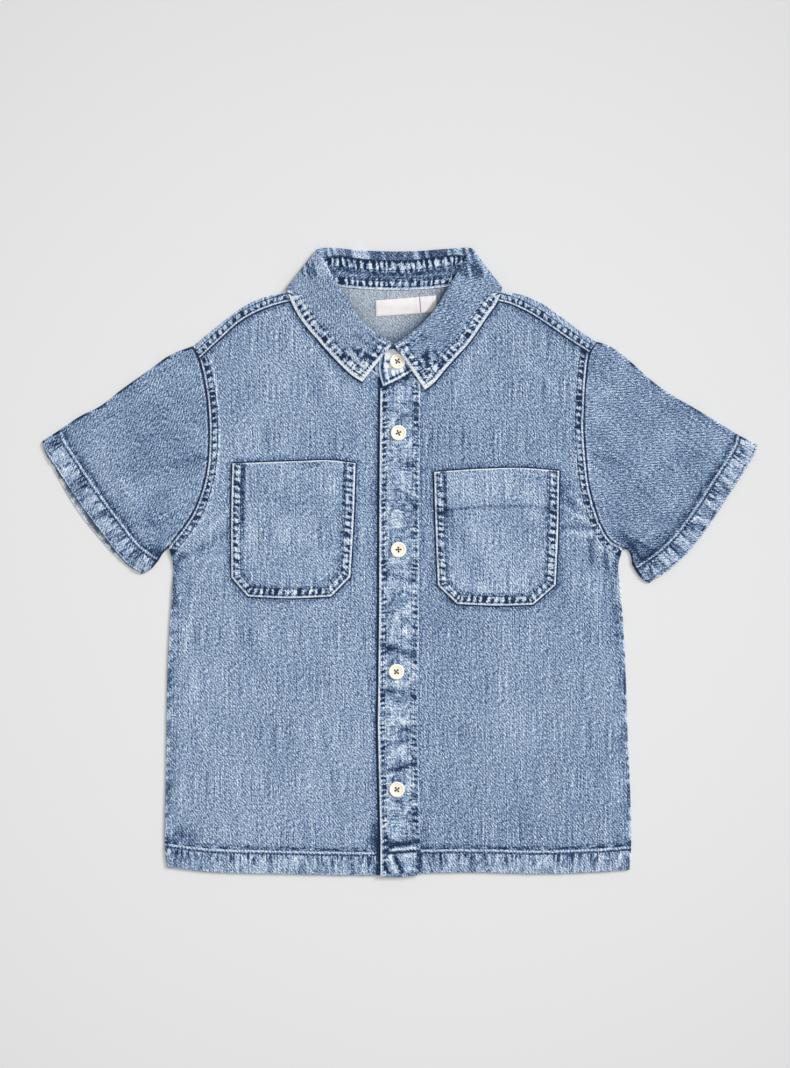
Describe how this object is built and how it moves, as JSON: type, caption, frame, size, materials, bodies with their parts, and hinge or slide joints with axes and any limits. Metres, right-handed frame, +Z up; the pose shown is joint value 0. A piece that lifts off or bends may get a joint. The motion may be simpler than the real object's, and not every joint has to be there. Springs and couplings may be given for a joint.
{
  "type": "denim shirt",
  "caption": "Child's short-sleeved denim shirt laid flat on its back: buttoned placket, two chest patch pockets and a turned-down collar on a stand.",
  "frame": {"origin": "middle of the bounding box on the surface that the shirt lies on", "axes": "+X towards the wearer's left sleeve, +Y from the hem to the collar, +Z up, out of the front"},
  "size_m": [0.5223, 0.4592, 0.0114],
  "materials": {
    "body_denim": "washed blue denim twill, matt",
    "trim_denim": "paler washed denim of the placket and pockets, matt",
    "collar_denim": "washed denim, two layers, worn pale at the edges",
    "label_cloth": "woven off-white label, bare",
    "button_shell": "cream resin, turned, soft gloss"
  },
  "bodies": {
    "root": {"back": "body_denim", "front_right": "body_denim", "front_left": "body_denim", "sleeve_right": "body_denim", "sleeve_left": "body_denim", "placket": "trim_denim", "pocket_right": "trim_denim", "pocket_left": "trim_denim", "collar_stand": "collar_denim", "collar_fall": "collar_denim", "neck_label": "label_cloth", "size_label": "label_cloth", "button_1": "button_shell", "button_2": "button_shell", "button_3": "button_shell", "button_4": "button_shell", "button_5": "button_shell"}
  },
  "joints": []
}
